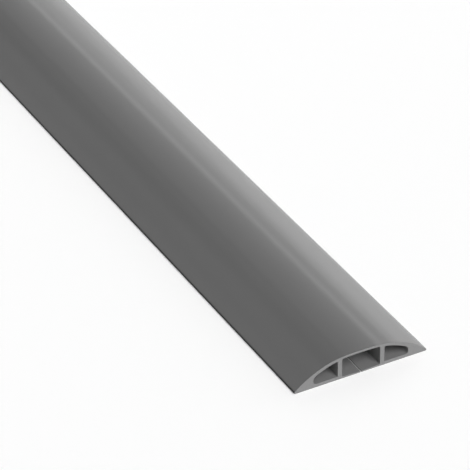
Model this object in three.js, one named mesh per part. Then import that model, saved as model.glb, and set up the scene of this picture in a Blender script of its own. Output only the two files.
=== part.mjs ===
// Over-floor cord cover: one flexible PVC extrusion in a low arched section.
// A wide channel under the crown takes the cords, and a hollow on each side of it
// keeps the ramped flanks light and springy. The channel's floor is two thin lips
// with a slit between them, which open to let a cord in from below.
// Millimetres, X across the width, Y along the length, Z up.
// The origin is on the floor, under the middle of the cover.
import * as THREE from "three";

// Overall size
const length = 914.4;
const width = 63.5;
const crownHeight = 11.25;
const edgeHeight = 0.9;

// Walls: over the channel, over a hollow at its web, over a hollow at its nose, and below
const crownWall = 1.1;
const shoulderWall = 1.35;
const flankWall = 1.7;
const baseWall = 1.6;
const webThickness = 2.1;

// Cord channel, with its split floor
const channelWidth = 18.2;
const lipRoot = 0.9;
const lipEdge = 0.6;
const slitWidth = 1.0;

// Arch: a nearly flat crown over the channel, a shoulder over each web and a long flank
const crownRadius = 150;
const shoulderRadius = 22;
const shoulderLead = 1.2;

// Side hollows: each stops this far inside the cover's edge
const solidEdge = 9.0;

// Fillets
const edgeFillet = 0.3;
const roofFillet = 0.9;
const noseFillet = 1.4;
const floorFillet = 0.35;

// How finely the curves are cut
const crownSteps = 12;
const shoulderSteps = 6;
const flankSteps = 20;
const roofSteps = 10;
const filletSteps = 6;

const halfWidth = width / 2;
const halfChannel = channelWidth / 2;
const webOuter = halfChannel + webThickness;
const noseX = halfWidth - solidEdge;

// Crown arc, centred on the middle line, out to the channel's walls
const crownEndX = halfChannel;
const crownEndTilt = Math.asin(crownEndX / crownRadius);
const crownCentreZ = crownHeight - crownRadius;
const crownEndZ = crownCentreZ + crownRadius * Math.cos(crownEndTilt);

// Shoulder arc: leaves the crown arc smoothly and ends just outside the web
const shoulderCentreX = crownEndX - shoulderRadius * Math.sin(crownEndTilt);
const shoulderCentreZ = crownEndZ - shoulderRadius * Math.cos(crownEndTilt);
const flankStartX = webOuter + shoulderLead;
const flankStartTilt = Math.asin((flankStartX - shoulderCentreX) / shoulderRadius);
const flankStartZ = shoulderCentreZ + shoulderRadius * Math.cos(flankStartTilt);

// Flank arc: leaves the shoulder arc smoothly and ends on top of the blunt edge
const flankRun = halfWidth - flankStartX;
const flankFall = flankStartZ - edgeHeight;
const chordTilt = Math.atan2(flankFall, flankRun);
const flankRadius = Math.hypot(flankRun, flankFall) / (2 * Math.sin(chordTilt - flankStartTilt));
const flankCentreX = flankStartX - flankRadius * Math.sin(flankStartTilt);
const flankCentreZ = flankStartZ - flankRadius * Math.cos(flankStartTilt);

// The arc that holds the arch's outer face at a distance from the middle line
function archArc(away) {
  if (away <= crownEndX) {
    return { x: 0, z: crownCentreZ, radius: crownRadius };
  }
  if (away <= flankStartX) {
    return { x: shoulderCentreX, z: shoulderCentreZ, radius: shoulderRadius };
  }
  return { x: flankCentreX, z: flankCentreZ, radius: flankRadius };
}

// Slope angle of the arch's outer face
function archTilt(x) {
  const away = Math.abs(x);
  const arc = archArc(away);
  return Math.asin((away - arc.x) / arc.radius);
}

// Height of the arch's outer face
function archTop(x) {
  const arc = archArc(Math.abs(x));
  return arc.z + arc.radius * Math.cos(archTilt(x));
}

// Height of the channel's roof, under the crown
function channelRoof(x) {
  return archTop(x) - crownWall / Math.cos(archTilt(x));
}

// Height of a hollow's roof: the wall above it grows evenly from the web to the nose
function hollowRoof(x) {
  const share = (Math.abs(x) - webOuter) / (noseX - webOuter);
  const wall = shoulderWall + (flankWall - shoulderWall) * share;
  return archTop(x) - wall / Math.cos(archTilt(x));
}

// Adds points of a curve z = heightAt(x), from one x to another
function followCurve(path, heightAt, fromX, toX, steps) {
  for (let i = 1; i <= steps; i++) {
    const x = fromX + ((toX - fromX) * i) / steps;
    path.lineTo(x, heightAt(x));
  }
}

// Outer outline, with the cord channel and its slit cut in from below
function coverOutline() {
  const outline = new THREE.Shape();
  const halfSlit = slitWidth / 2;
  const edgeX = halfWidth - edgeFillet;
  const edgeZ = edgeHeight - Math.min(edgeFillet, edgeHeight / 2);
  outline.moveTo(halfSlit, 0);
  outline.lineTo(halfWidth, 0);
  outline.lineTo(halfWidth, edgeZ);
  outline.quadraticCurveTo(halfWidth, edgeHeight, edgeX, archTop(edgeX));
  followCurve(outline, archTop, edgeX, flankStartX, flankSteps);
  followCurve(outline, archTop, flankStartX, crownEndX, shoulderSteps);
  followCurve(outline, archTop, crownEndX, -crownEndX, crownSteps);
  followCurve(outline, archTop, -crownEndX, -flankStartX, shoulderSteps);
  followCurve(outline, archTop, -flankStartX, -edgeX, flankSteps);
  outline.quadraticCurveTo(-halfWidth, edgeHeight, -halfWidth, edgeZ);
  outline.lineTo(-halfWidth, 0);
  outline.lineTo(-halfSlit, 0);

  outline.lineTo(-halfSlit, lipEdge);
  outline.lineTo(-halfChannel + floorFillet, lipRoot);
  outline.quadraticCurveTo(-halfChannel, lipRoot, -halfChannel, lipRoot + floorFillet);
  const cornerZ = channelRoof(halfChannel);
  const inX = halfChannel - roofFillet;
  outline.lineTo(-halfChannel, cornerZ - roofFillet);
  outline.quadraticCurveTo(-halfChannel, cornerZ, -inX, channelRoof(inX));
  followCurve(outline, channelRoof, -inX, inX, roofSteps);
  outline.quadraticCurveTo(halfChannel, cornerZ, halfChannel, cornerZ - roofFillet);
  outline.lineTo(halfChannel, lipRoot + floorFillet);
  outline.quadraticCurveTo(halfChannel, lipRoot, halfChannel - floorFillet, lipRoot);
  outline.lineTo(halfSlit, lipEdge);
  outline.closePath();
  return outline;
}

// Side hollow between a web and the solid edge; side is 1 on the right and -1 on the left
function sideHollow(side) {
  const hole = new THREE.Path();
  const noseZ = hollowRoof(noseX);
  const nose = Math.min(noseFillet, (noseZ - baseWall) / 2);
  const roofStart = noseX - nose;
  const roofEnd = webOuter + roofFillet;
  hole.moveTo(side * (webOuter + floorFillet), baseWall);
  hole.lineTo(side * roofStart, baseWall);
  hole.quadraticCurveTo(side * noseX, baseWall, side * noseX, baseWall + nose);
  hole.lineTo(side * noseX, noseZ - nose);
  hole.quadraticCurveTo(side * noseX, noseZ, side * roofStart, hollowRoof(roofStart));
  followCurve(hole, hollowRoof, side * roofStart, side * roofEnd, roofSteps);
  const cornerZ = hollowRoof(webOuter);
  hole.quadraticCurveTo(side * webOuter, cornerZ, side * webOuter, cornerZ - roofFillet);
  hole.lineTo(side * webOuter, baseWall + floorFillet);
  hole.quadraticCurveTo(side * webOuter, baseWall, side * (webOuter + floorFillet), baseWall);
  return hole;
}

// The section extruded to length, then laid along Y with its middle over the origin
function extrudedCover() {
  const section = coverOutline();
  section.holes.push(sideHollow(1), sideHollow(-1));
  const geometry = new THREE.ExtrudeGeometry(section, {
    depth: length,
    bevelEnabled: false,
    curveSegments: filletSteps,
    steps: 1,
  });
  geometry.rotateX(Math.PI / 2);
  geometry.translate(0, length / 2, 0);
  return geometry;
}

const greyPvc = new THREE.MeshStandardMaterial({
  color: 0x6e6e6e,
  roughness: 0.55,
  metalness: 0,
});

const cover = new THREE.Mesh(extrudedCover(), greyPvc);
cover.name = "cord_cover_extrusion";

const part = new THREE.Group();
part.add(cover);

export default part;
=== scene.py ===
# Floor cord cover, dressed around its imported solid.
# Metres: X across the cover, Y along it, Z up from the floor.
import math
import bpy
from mathutils import Matrix, Vector


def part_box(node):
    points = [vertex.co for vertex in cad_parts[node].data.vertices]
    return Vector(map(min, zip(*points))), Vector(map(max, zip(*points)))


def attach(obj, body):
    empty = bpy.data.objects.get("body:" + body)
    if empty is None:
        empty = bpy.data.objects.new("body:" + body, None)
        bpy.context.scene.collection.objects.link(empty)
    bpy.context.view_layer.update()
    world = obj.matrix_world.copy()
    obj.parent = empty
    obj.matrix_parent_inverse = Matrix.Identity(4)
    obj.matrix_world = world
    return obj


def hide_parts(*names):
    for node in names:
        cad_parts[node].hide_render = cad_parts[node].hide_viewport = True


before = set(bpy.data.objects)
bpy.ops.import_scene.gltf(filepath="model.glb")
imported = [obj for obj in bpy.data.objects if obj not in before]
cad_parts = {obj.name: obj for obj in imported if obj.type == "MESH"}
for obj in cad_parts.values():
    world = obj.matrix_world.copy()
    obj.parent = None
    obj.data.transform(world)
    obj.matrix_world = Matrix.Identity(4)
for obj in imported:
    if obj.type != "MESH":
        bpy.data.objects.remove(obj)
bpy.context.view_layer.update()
stripLow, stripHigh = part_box("cord_cover_extrusion")
mm = 0.001
print("frame loaded")


# Node trees are written through these two: a tree to add nodes to, and a socket with maths on it
class NodeBoard:
    def __init__(self, tree):
        self.tree = tree

    def node(self, kind, settings=None, sockets=None):
        made = self.tree.nodes.new(kind)
        for name, value in (settings or {}).items():
            setattr(made, name, value)
        for key, value in (sockets or {}).items():
            if isinstance(value, NodeValue):
                self.tree.links.new(value.socket, made.inputs[key])
            else:
                made.inputs[key].default_value = value
        return made

    def value(self, kind, settings=None, sockets=None, output=0):
        made = self.node(kind, settings, sockets)
        return NodeValue(self, made.outputs[output])

    def axes(self, vector):
        parts = self.node("ShaderNodeSeparateXYZ", None, {"Vector": vector})
        return [NodeValue(self, socket) for socket in parts.outputs]


class NodeValue:
    def __init__(self, board, socket):
        self.board = board
        self.socket = socket

    def maths(self, operation, *others):
        sockets = dict(enumerate((self,) + others))
        return self.board.value("ShaderNodeMath", {"operation": operation}, sockets)

    def flipped(self, operation, other):  # a plain number stands first
        sockets = {0: other, 1: self}
        return self.board.value("ShaderNodeMath", {"operation": operation}, sockets)

    def __add__(self, other):
        return self.maths("ADD", other)

    def __radd__(self, other):
        return self.maths("ADD", other)

    def __sub__(self, other):
        return self.maths("SUBTRACT", other)

    def __rsub__(self, other):
        return self.flipped("SUBTRACT", other)

    def __mul__(self, other):
        return self.maths("MULTIPLY", other)

    def __rmul__(self, other):
        return self.maths("MULTIPLY", other)

    def __truediv__(self, other):
        return self.maths("DIVIDE", other)

    def __rtruediv__(self, other):
        return self.flipped("DIVIDE", other)

    def __abs__(self):
        return self.maths("ABSOLUTE")

    def clamped(self):
        return self.maths("MAXIMUM", 0.0).maths("MINIMUM", 1.0)


def greyColour(grey):
    return (grey, grey, grey, 1)


# Camera, standing in front of the near end and to its left
cameraView = {
    "place": (-0.4680, stripLow.y - 0.7788, 0.6614),
    "aim": (0.0037, stripLow.y + 0.1175, 0.0),
    "rollDegrees": -0.92,
    "lens": 206.8,
    "sensorWidth": 36,
    "nearest": 0.05,
    "farthest": 200,
}


def makeCamera():
    data = bpy.data.cameras.new("productCamera")
    data.lens = cameraView["lens"]
    data.sensor_width = cameraView["sensorWidth"]
    data.clip_start = cameraView["nearest"]
    data.clip_end = cameraView["farthest"]
    camera = bpy.data.objects.new("productCamera", data)
    bpy.context.scene.collection.objects.link(camera)
    place = Vector(cameraView["place"])
    gaze = Vector(cameraView["aim"]) - place
    roll = Matrix.Rotation(math.radians(cameraView["rollDegrees"]), 4, "Z")
    turn = gaze.to_track_quat("-Z", "Y").to_matrix().to_4x4()
    camera.matrix_world = Matrix.Translation(place) @ turn @ roll
    bpy.context.scene.camera = camera


# Studio: pale floor, soft lights far off, and long banks beside the far end, level with the strip
studio = {
    "floorSize": 60.0,
    "floorDrop": 0.05 * mm,
    "floorGrey": 0.95,
    "floorRoughness": 0.9,
    "floorSpecular": 0.1,
    "floorGlow": 0.04,
    "surroundGrey": 0.06,
    "bankDistance": 4.0,
    "bankLength": 8.0,
    "bankMiddle": 6.0,
    "suns": [
        # name, heading from the far end round to the right, height and spread in degrees, strength,
        # and whether the gloss shows it, or only the matt colour under the gloss
        ("rightLow", 90, 12, 40, 0.63, True),
        ("backRightLow", 60, 12, 40, 0.21, True),
        ("frontLeftHigh", 190, 42, 60, 0.87, True),
        ("frontRightHigh", 170, 42, 40, 2.5, False),
        ("frontLow", 170, 25, 30, 0.71, False),
    ],
    "banks": [
        # name, lean from straight above towards the right and width in degrees, watts
        ("crownBank", 46, 8, 28),
        ("shoulderBank", 55, 10, 13),
        ("flankBank", 62, 14, 22.5),
        ("edgeBank", 82, 24, 43),
        ("leftHighBank", -20, 30, 16.7),
        ("leftLowBank", -50, 30, 28.6),
    ],
}


# The room lights the cover dimly, and its far distance looks as pale as the floor
def makeRoom():
    world = bpy.data.worlds.new("paleRoom")
    world.use_nodes = True
    world.node_tree.nodes.clear()
    board = NodeBoard(world.node_tree)
    dim = board.value("ShaderNodeBackground", None, {"Color": greyColour(studio["surroundGrey"])})
    pale = board.value("ShaderNodeBackground", None, {"Color": greyColour(1)})
    seen = board.value("ShaderNodeLightPath", output="Is Camera Ray")
    room = board.value("ShaderNodeMixShader", None, {"Fac": seen, 1: dim, 2: pale})
    board.node("ShaderNodeOutputWorld", None, {"Surface": room})
    bpy.context.scene.world = world


def makeFloor():
    half = studio["floorSize"] / 2
    drop = -studio["floorDrop"]
    corners = [(-half, -half, drop), (half, -half, drop), (half, half, drop), (-half, half, drop)]
    mesh = bpy.data.meshes.new("studioFloor")
    mesh.from_pydata(corners, [], [(0, 1, 2, 3)])
    floor = bpy.data.objects.new("studioFloor", mesh)
    bpy.context.scene.collection.objects.link(floor)
    material = bpy.data.materials.new("paleFloor")
    material.use_nodes = True
    finish = {
        "Base Color": greyColour(studio["floorGrey"]),
        "Roughness": studio["floorRoughness"],
        "Specular IOR Level": studio["floorSpecular"],
        "Emission Color": greyColour(1),
        "Emission Strength": studio["floorGlow"],
    }
    shader = material.node_tree.nodes["Principled BSDF"]
    for name, value in finish.items():
        shader.inputs[name].default_value = value
    mesh.materials.append(material)


def makeLights():
    collection = bpy.context.scene.collection
    for name, heading, height, spread, strength, glossy in studio["suns"]:
        data = bpy.data.lights.new(name, "SUN")
        data.angle = math.radians(spread)
        data.energy = strength
        light = bpy.data.objects.new(name, data)
        light.rotation_euler = (math.radians(height - 90), 0, math.radians(-heading))
        light.visible_glossy = glossy
        collection.objects.link(light)

    away = studio["bankDistance"]
    for name, leanDegrees, width, watts in studio["banks"]:
        lean = math.radians(leanDegrees)
        data = bpy.data.lights.new(name, "AREA")
        data.shape = "RECTANGLE"
        data.size = 2 * away * math.tan(math.radians(width / 2))
        data.size_y = studio["bankLength"]
        data.energy = watts
        light = bpy.data.objects.new(name, data)
        light.location = (away * math.sin(lean), studio["bankMiddle"], away * math.cos(lean))
        light.rotation_euler = (0, lean, 0)
        collection.objects.link(light)


bpy.context.scene.view_settings.view_transform = "Standard"
makeCamera()
makeRoom()
makeFloor()
makeLights()
print("camera and studio ready")


# The cover's section, in millimetres: the solid's arcs and walls, with the slit nearly closed,
# soft corners underneath and a shallow crease in the skin over each web
coverSection = {
    "halfWidth": (stripHigh.x - stripLow.x) / 2 / mm,
    "crownHeight": (stripHigh.z - stripLow.z) / mm,
    "edgeHeight": 0.9,
    "crownWall": 1.1,
    "shoulderWall": 1.35,
    "flankWall": 1.7,
    "baseWall": 1.6,
    "webThickness": 2.1,
    "halfChannel": 9.1,
    "lipRoot": 0.9,
    "lipEdge": 0.6,
    "halfSlit": 0.25,
    "crownRadius": 150.0,
    "shoulderRadius": 22.0,
    "shoulderLead": 1.2,
    "solidEdge": 9.0,
    "edgeFillet": 0.3,
    "roofFillet": 0.9,
    "noseFillet": 1.4,
    "floorFillet": 0.35,
    "heelFillet": 0.45,
    "lipFillet": 0.15,
    # start, end and drop of each soft step in the skin, from the middle outwards
    "creaseSteps": [
        (6.7, 11.6, 0.195),
        (8.25, 9.9, 0.060),
        (10.0, 14.75, -0.209),
        (8.0, 18.1, -0.157),
        (18.1, 31.4, 0.111),
    ],
    "leftCreaseShare": 0.5,
    "pointGap": 0.25,
    "cornerSteps": 6,
    "lipSteps": 3,
    "innerMargin": 0.5,  # a point this far inside the outline is on a wall of the channel or a hollow
}


# Arcs of the arch: each one's centre, radius and the distance from the middle where it ends
def archArcs(s):
    crownTilt = math.asin(s["halfChannel"] / s["crownRadius"])
    crownCentre = s["crownHeight"] - s["crownRadius"]
    crownEndZ = crownCentre + s["crownRadius"] * math.cos(crownTilt)
    shoulderX = s["halfChannel"] - s["shoulderRadius"] * math.sin(crownTilt)
    shoulderZ = crownEndZ - s["shoulderRadius"] * math.cos(crownTilt)
    flankStart = s["halfChannel"] + s["webThickness"] + s["shoulderLead"]
    flankTilt = math.asin((flankStart - shoulderX) / s["shoulderRadius"])
    flankStartZ = shoulderZ + s["shoulderRadius"] * math.cos(flankTilt)
    run = s["halfWidth"] - flankStart
    fall = flankStartZ - s["edgeHeight"]
    flankRadius = math.hypot(run, fall) / (2 * math.sin(math.atan2(fall, run) - flankTilt))
    flankX = flankStart - flankRadius * math.sin(flankTilt)
    flankZ = flankStartZ - flankRadius * math.cos(flankTilt)
    return [
        (0.0, crownCentre, s["crownRadius"], s["halfChannel"]),
        (shoulderX, shoulderZ, s["shoulderRadius"], flankStart),
        (flankX, flankZ, flankRadius, math.inf),
    ]


arcs = archArcs(coverSection)


def archAt(x):  # height and slope angle of the arch's outer face
    away = abs(x)
    for centreX, centreZ, radius, end in arcs:
        if away <= end:
            tilt = math.asin((away - centreX) / radius)
            return centreZ + radius * math.cos(tilt), tilt


def eased(x, start, end):  # 0 at the start, 1 at the end, level at both
    t = min(1.0, max(0.0, (x - start) / (end - start)))
    return t * t * (3 - 2 * t)


def archSkin(x):  # the arch, with the shallow crease that each cooling web draws in, fainter on the left
    drop = sum(depth * eased(abs(x), start, end) for start, end, depth in coverSection["creaseSteps"])
    share = coverSection["leftCreaseShare"] if x < 0 else 1
    return archAt(x)[0] - drop * share


def roofAt(x, wall):
    height, tilt = archAt(x)
    return height - wall / math.cos(tilt)


def channelRoof(x):
    return roofAt(x, coverSection["crownWall"])


def hollowRoof(x):  # the wall over a hollow grows evenly from the web to the nose
    s = coverSection
    web = s["halfChannel"] + s["webThickness"]
    share = (abs(x) - web) / (s["halfWidth"] - s["solidEdge"] - web)
    return roofAt(x, s["shoulderWall"] + (s["flankWall"] - s["shoulderWall"]) * share)


def isInner(x, z):
    margin = coverSection["innerMargin"]
    return margin < z < archAt(x)[0] - margin


# A closed loop of section points, drawn from stretch to stretch
class SectionLoop:
    def __init__(self, start):
        self.points = [start]

    def steps(self, length):
        return max(2, round(length / coverSection["pointGap"]))

    def line(self, x, z):
        x0, z0 = self.points[-1]
        count = self.steps(math.hypot(x - x0, z - z0))
        for i in range(1, count + 1):
            self.points.append((x0 + (x - x0) * i / count, z0 + (z - z0) * i / count))

    def curve(self, heightAt, x):
        x0 = self.points[-1][0]
        count = self.steps(abs(x - x0))
        for i in range(1, count + 1):
            px = x0 + (x - x0) * i / count
            self.points.append((px, heightAt(px)))

    def corner(self, cx, cz, x, z, count=coverSection["cornerSteps"]):
        x0, z0 = self.points[-1]
        for i in range(1, count + 1):
            t = i / count
            a, b, c = (1 - t) ** 2, 2 * t * (1 - t), t * t
            self.points.append((a * x0 + b * cx + c * x, a * z0 + b * cz + c * z))

    def closed(self):  # the last point repeats the first
        return self.points[:-1]


# Outer outline, with the channel and its slit cut in from below
def outerLoop():
    s = coverSection
    w, h, c = s["halfWidth"], s["halfSlit"], s["halfChannel"]
    heel, lip, edge = s["heelFillet"], s["lipFillet"], s["edgeFillet"]
    root, roof, fine = s["floorFillet"], s["roofFillet"], s["lipSteps"]
    edgeX = w - edge
    edgeZ = s["edgeHeight"] - edge
    rootZ = s["lipRoot"]
    lipZ = s["lipEdge"]
    cornerZ = channelRoof(c)
    loop = SectionLoop((h, lip))
    loop.corner(h, 0, h + lip, 0, fine)
    loop.line(w - heel, 0)
    loop.corner(w, 0, w, heel)
    loop.line(w, edgeZ)
    loop.corner(w, s["edgeHeight"], edgeX, archSkin(edgeX))
    loop.curve(archSkin, -edgeX)
    loop.corner(-w, s["edgeHeight"], -w, edgeZ)
    loop.line(-w, heel)
    loop.corner(-w, 0, -w + heel, 0)
    loop.line(-h - lip, 0)
    loop.corner(-h, 0, -h, lip, fine)
    loop.line(-h, lipZ - lip)
    loop.corner(-h, lipZ, -h - lip, lipZ, fine)
    loop.line(-c + root, rootZ)
    loop.corner(-c, rootZ, -c, rootZ + root)
    loop.line(-c, cornerZ - roof)
    loop.corner(-c, cornerZ, -c + roof, channelRoof(c - roof))
    loop.curve(channelRoof, c - roof)
    loop.corner(c, cornerZ, c, cornerZ - roof)
    loop.line(c, rootZ + root)
    loop.corner(c, rootZ, c - root, rootZ)
    loop.line(h + lip, lipZ)
    loop.corner(h, lipZ, h, lipZ - lip, fine)
    loop.line(h, lip)
    return loop.closed()


# A side hollow; side is 1 on the right and -1 on the left
def hollowLoop(side):
    s = coverSection
    web = s["halfChannel"] + s["webThickness"]
    noseX = s["halfWidth"] - s["solidEdge"]
    base, foot, roof = s["baseWall"], s["floorFillet"], s["roofFillet"]
    noseZ = hollowRoof(noseX)
    nose = min(s["noseFillet"], (noseZ - base) / 2)
    webZ = hollowRoof(web)
    loop = SectionLoop((web, base + foot))  # turned the other way, as a hole is
    loop.line(web, webZ - roof)
    loop.corner(web, webZ, web + roof, hollowRoof(web + roof))
    loop.curve(hollowRoof, noseX - nose)
    loop.corner(noseX, noseZ, noseX, noseZ - nose)
    loop.line(noseX, base + nose)
    loop.corner(noseX, base, noseX - nose, base)
    loop.line(web + foot, base)
    loop.corner(web, base, web, base + foot)
    points = loop.closed()
    if side < 0:
        points = [(-x, z) for x, z in reversed(points)]
    return points


# The section as a mesh of edges, whose attribute "inner" is 1 on the walls of the channel and hollows
def sectionMesh():
    points = []
    edges = []
    for loop in (outerLoop(), hollowLoop(1), hollowLoop(-1)):
        first = len(points)
        count = len(loop)
        points += loop
        edges += [(first + i, first + (i + 1) % count) for i in range(count)]
    mesh = bpy.data.meshes.new("coverSection")
    mesh.from_pydata([(x * mm, z * mm, 0) for x, z in points], edges, [])
    inner = mesh.attributes.new("inner", "FLOAT", "POINT")
    for mark, (x, z) in zip(inner.data, points):
        mark.value = float(isInner(x, z))
    return mesh


# The strip follows a rule, one section drawn out to length, so Geometry Nodes make it
stripBuild = {
    "Length": stripHigh.y - stripLow.y,
    "Rings": 60,
    "Cut Rounding": 0.12 * mm,
    "Cut Rings": 3,
    "Cut Tolerance": 0.001 * mm,
    "Weld Distance": 0.002 * mm,
    "Ripple Depth": 0.012 * mm,
    "Ripple Size": 0.05,
    "Ripple Ratio": 6.0,
    "Ripple Lead": 2 * mm,
}


# The section swept up Z, its rings close together at both cuts, with a guard ring behind each rounding
def sweptWalls(board, asked):
    length = asked("Length")
    rounding = asked("Cut Rounding")
    cutRings = asked("Cut Rings")
    section = board.value("GeometryNodeMeshToCurve", None, {"Mesh": asked("Section")})
    last = asked("Rings") + 2 * cutRings
    line = board.value("GeometryNodeCurvePrimitiveLine", None, {"Start": (0, 0, 0), "End": (0, 0, 1)})
    path = board.value("GeometryNodeResampleCurve", None, {"Curve": line, "Count": last + 1})
    index = board.value("GeometryNodeInputIndex")
    fromEnd = index.maths("MINIMUM", last - index)
    turn = (fromEnd / cutRings).maths("MINIMUM", 1.0) * (math.pi / 2)
    guard = (fromEnd - cutRings).clamped()
    endHeight = rounding * (1 - turn.maths("COSINE") + guard)
    endReach = rounding * 2
    share = ((index - cutRings - 1) / (asked("Rings") - 2)).clamped()
    farHalf = index.maths("GREATER_THAN", last / 2)
    height = share * (length - 2 * endReach) + endHeight + farHalf * 2 * (endReach - endHeight)
    point = board.value("ShaderNodeCombineXYZ", None, {"Z": height})
    path = board.value("GeometryNodeSetPosition", None, {"Geometry": path, "Position": point})
    sweep = {"Curve": path, "Profile Curve": section}
    return board.value("GeometryNodeCurveToMesh", None, sweep)


# Both cuts lose their sharp rim, and the skin gets the faint ripple of a drawn strip
def softenedWalls(board, asked, walls):
    length = asked("Length")
    rounding = asked("Cut Rounding")
    place = board.value("GeometryNodeInputPosition")
    z = board.axes(place)[2]
    inside = z.maths("MINIMUM", length - z) - asked("Cut Tolerance")
    inset = 1 - (inside / rounding).clamped()
    sink = rounding * (1 - (1 - inset * inset).maths("SQRT"))
    across = asked("Ripple Ratio")
    ratio = board.value("ShaderNodeCombineXYZ", None, {"X": across, "Y": across, "Z": 1.0})
    stretch = board.value("ShaderNodeVectorMath", {"operation": "MULTIPLY"}, {0: place, 1: ratio})
    scale = 1 / asked("Ripple Size")
    wave = {"Vector": stretch, "Scale": scale, "Detail": 1.0}
    ripple = board.value("ShaderNodeTexNoise", None, wave)
    calm = (inside / asked("Ripple Lead")).clamped()  # no ripple at the cuts, so that both rims are alike
    depth = (sink + ripple * calm * asked("Ripple Depth")) * -1
    normal = board.value("GeometryNodeInputNormal")
    shift = board.value("ShaderNodeVectorMath", {"operation": "SCALE"}, {0: normal, "Scale": depth})
    walls = board.value("GeometryNodeSetPosition", None, {"Geometry": walls, "Offset": shift})
    return board.value("GeometryNodeSetShadeSmooth", None, {"Geometry": walls, "Shade Smooth": True})


# The cut face fills the first ring, and a copy of it closes the other end
def closedStrip(board, asked, walls):
    z = board.axes(board.value("GeometryNodeInputPosition"))[2]
    first = {"Geometry": walls, "Selection": z.maths("LESS_THAN", asked("Weld Distance"))}
    ring = board.value("GeometryNodeSeparateGeometry", {"domain": "POINT"}, first)
    ringCurve = board.value("GeometryNodeMeshToCurve", None, {"Mesh": ring})
    cut = board.value("GeometryNodeFillCurve", None, {"Curve": ringCurve})
    cut = board.value("GeometryNodeSetShadeSmooth", None, {"Geometry": cut, "Shade Smooth": False})
    up = board.value("ShaderNodeCombineXYZ", None, {"Z": asked("Length")})
    upperCut = board.value("GeometryNodeTransform", None, {"Geometry": cut, "Translation": up})
    lowerCut = board.value("GeometryNodeFlipFaces", None, {"Mesh": cut})
    join = board.node("GeometryNodeJoinGeometry")
    for piece in (walls, lowerCut, upperCut):
        board.tree.links.new(piece.socket, join.inputs["Geometry"])
    whole = NodeValue(board, join.outputs["Geometry"])
    weld = {"Geometry": whole, "Distance": asked("Weld Distance")}
    return board.value("GeometryNodeMergeByDistance", None, weld)


def extrusionTree(material):
    tree = bpy.data.node_groups.new("drawOutSection", "GeometryNodeTree")
    board = NodeBoard(tree)
    face = tree.interface
    face.new_socket("Section", in_out="INPUT", socket_type="NodeSocketGeometry")
    for name, value in stripBuild.items():
        kind = "NodeSocketInt" if isinstance(value, int) else "NodeSocketFloat"
        face.new_socket(name, in_out="INPUT", socket_type=kind)
    face.new_socket("Strip", in_out="OUTPUT", socket_type="NodeSocketGeometry")
    given = tree.nodes.new("NodeGroupInput")

    def asked(name):
        return NodeValue(board, given.outputs[name])

    walls = softenedWalls(board, asked, sweptWalls(board, asked))
    whole = closedStrip(board, asked, walls)

    # Laid down: the path's start becomes the far end
    half = board.value("ShaderNodeCombineXYZ", None, {"Y": asked("Length") * 0.5})
    turned = {"Geometry": whole, "Translation": half, "Rotation": (math.pi / 2, 0, 0)}
    laid = board.value("GeometryNodeTransform", None, turned)
    laid = board.value("GeometryNodeRealizeInstances", None, {"Geometry": laid})
    laid = board.value("GeometryNodeSetMaterial", None, {"Geometry": laid, "Material": material})
    board.node("NodeGroupOutput", None, {"Strip": laid})
    return tree


def drawOutStrip(material):
    section = bpy.data.objects.new("coverSection", sectionMesh())
    bpy.context.scene.collection.objects.link(section)
    tree = extrusionTree(material)
    modifier = section.modifiers.new("drawOut", "NODES")
    modifier.node_group = tree
    for item in tree.interface.items_tree:
        if item.in_out == "INPUT" and item.name in stripBuild:
            modifier[item.identifier] = stripBuild[item.name]
    graph = bpy.context.evaluated_depsgraph_get()
    made = bpy.data.meshes.new_from_object(section.evaluated_get(graph))
    made.name = "cordCoverStrip"
    section.modifiers.clear()
    bpy.data.objects.remove(section)
    strip = bpy.data.objects.new("cordCoverStrip", made)
    bpy.context.scene.collection.objects.link(strip)
    return strip


# Finish: grey flexible PVC as it leaves the die, duller inside with painted light making the inner walls
# paler, paler and duller where it is cut, and painted shade, dull and near black, down the thin blunt
# edges
pvcFinish = {
    "grey": 0.135,
    # painted light: the paler grey of the inner walls of the channel and hollows
    "paintedLightInnerGrey": 0.168,
    "cutGrey": 0.167,
    # painted shade: the near black grey down the thin blunt edges
    "paintedShadeEdgeGrey": 0.02,
    "roughness": 0.27,
    "innerRoughness": 0.45,
    "cutRoughness": 0.55,
    "edgeRoughness": 0.8,
    "edgeSpecular": 0.1,
    "ior": 1.53,
    # width of the painted shade band down each blunt edge
    "paintedShadeEdgeBand": 0.4 * mm,
    # the cut's finish starts this far from the end and is full after the fade
    "cutBand": 0.1 * mm,
    "cutFade": 0.05 * mm,
    # each noise's scale along X, Y and Z, and its detail
    "mottleNoise": (60, 25, 60, 2.0),  # slow cloudiness of the compound
    "streakNoise": (1400, 6, 1400, 3.0),  # die lines, drawn out along the strip
    "grainNoise": (3800, 3800, 3800, 2.0),  # fine matt grain
    "shearNoise": (2600, 500, 260, 3.0),  # the blade's marks on a cut
    # how much each noise changes the grey, the roughness and the height
    "mottle": 0.04,
    "streak": 0.015,
    "shear": 0.25,
    "grainRoughness": 0.012,
    "streakRoughness": 0.006,
    "grainDepth": 0.0018 * mm,
    "streakDepth": 0.0006 * mm,
    "cutDepth": 0.02 * mm,
}


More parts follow.
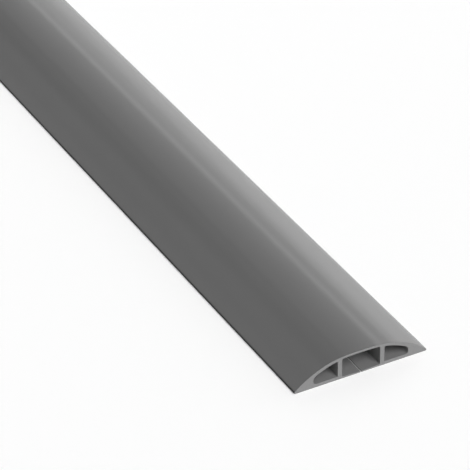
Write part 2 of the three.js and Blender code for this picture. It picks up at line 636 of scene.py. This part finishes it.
def greyPvcMaterial():
    f = pvcFinish
    material = bpy.data.materials.new("greyPvc")
    material.use_nodes = True
    material.node_tree.nodes.clear()
    board = NodeBoard(material.node_tree)
    x, y, z = board.axes(board.value("ShaderNodeTexCoord", output="Object"))

    def noise(name):
        scaleX, scaleY, scaleZ, detail = f[name]
        scaled = {"X": x * scaleX, "Y": y * scaleY, "Z": z * scaleZ}
        at = board.value("ShaderNodeCombineXYZ", None, scaled)
        return board.value("ShaderNodeTexNoise", None, {"Vector": at, "Scale": 1.0, "Detail": detail})

    mottle = noise("mottleNoise")
    streak = noise("streakNoise")
    grain = noise("grainNoise")
    shear = noise("shearNoise")

    # Masks, from 0 to 1: inner walls, cut ends and the painted shade down the blunt edges
    halfLength = (stripHigh.y - stripLow.y) / 2
    halfWidth = (stripHigh.x - stripLow.x) / 2
    inner = board.value("ShaderNodeAttribute", {"attribute_name": "inner"}, output="Fac")
    cut = ((abs(y) - (halfLength - f["cutBand"])) / f["cutFade"]).clamped()
    # painted shade: a band down each blunt edge, faded in over its width, kept off the cuts
    edge = ((abs(x) - (halfWidth - f["paintedShadeEdgeBand"])) / f["paintedShadeEdgeBand"]).clamped() * (1 - cut)

    shade = (mottle - 0.5) * f["mottle"] + (streak - 0.5) * f["streak"] + 1
    # painted light: the inner walls are made paler than the outer skin
    skinGrey = shade * (inner * (f["paintedLightInnerGrey"] - f["grey"]) + f["grey"])
    cutGrey = ((shear - 0.5) * f["shear"] + 1) * f["cutGrey"]
    grey = skinGrey + (cutGrey - skinGrey) * cut
    colour = board.value("ShaderNodeCombineColor", None, {"Red": grey, "Green": grey, "Blue": grey})
    skinRough = (grain - 0.5) * f["grainRoughness"] + (streak - 0.5) * f["streakRoughness"]
    skinRough = skinRough + f["roughness"] + inner * (f["innerRoughness"] - f["roughness"])
    rough = skinRough + (f["cutRoughness"] - skinRough) * cut
    height = (grain * f["grainDepth"] + streak * f["streakDepth"]) * (1 - cut)
    height = height + shear * f["cutDepth"] * cut
    bump = board.value("ShaderNodeBump", None, {"Height": height, "Distance": 1.0})
    skinSockets = {"Base Color": colour, "Roughness": rough, "Normal": bump, "IOR": f["ior"]}
    skin = board.value("ShaderNodeBsdfPrincipled", None, skinSockets)
    # painted shade: a near black, dull shader mixed in down the blunt edges
    edgeShadeSockets = {
        "Base Color": greyColour(f["paintedShadeEdgeGrey"]),
        "Roughness": f["edgeRoughness"],
        "Specular IOR Level": f["edgeSpecular"],
    }
    edgeShadeBsdf = board.value("ShaderNodeBsdfPrincipled", None, edgeShadeSockets)
    whole = board.value("ShaderNodeMixShader", None, {"Fac": edge, 1: skin, 2: edgeShadeBsdf})
    board.node("ShaderNodeOutputMaterial", None, {"Surface": whole})
    return material


greyPvc = greyPvcMaterial()
strip = drawOutStrip(greyPvc)
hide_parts("cord_cover_extrusion")
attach(strip, "root")
print("strip drawn out:", len(strip.data.vertices), "points,", len(strip.data.polygons), "faces")
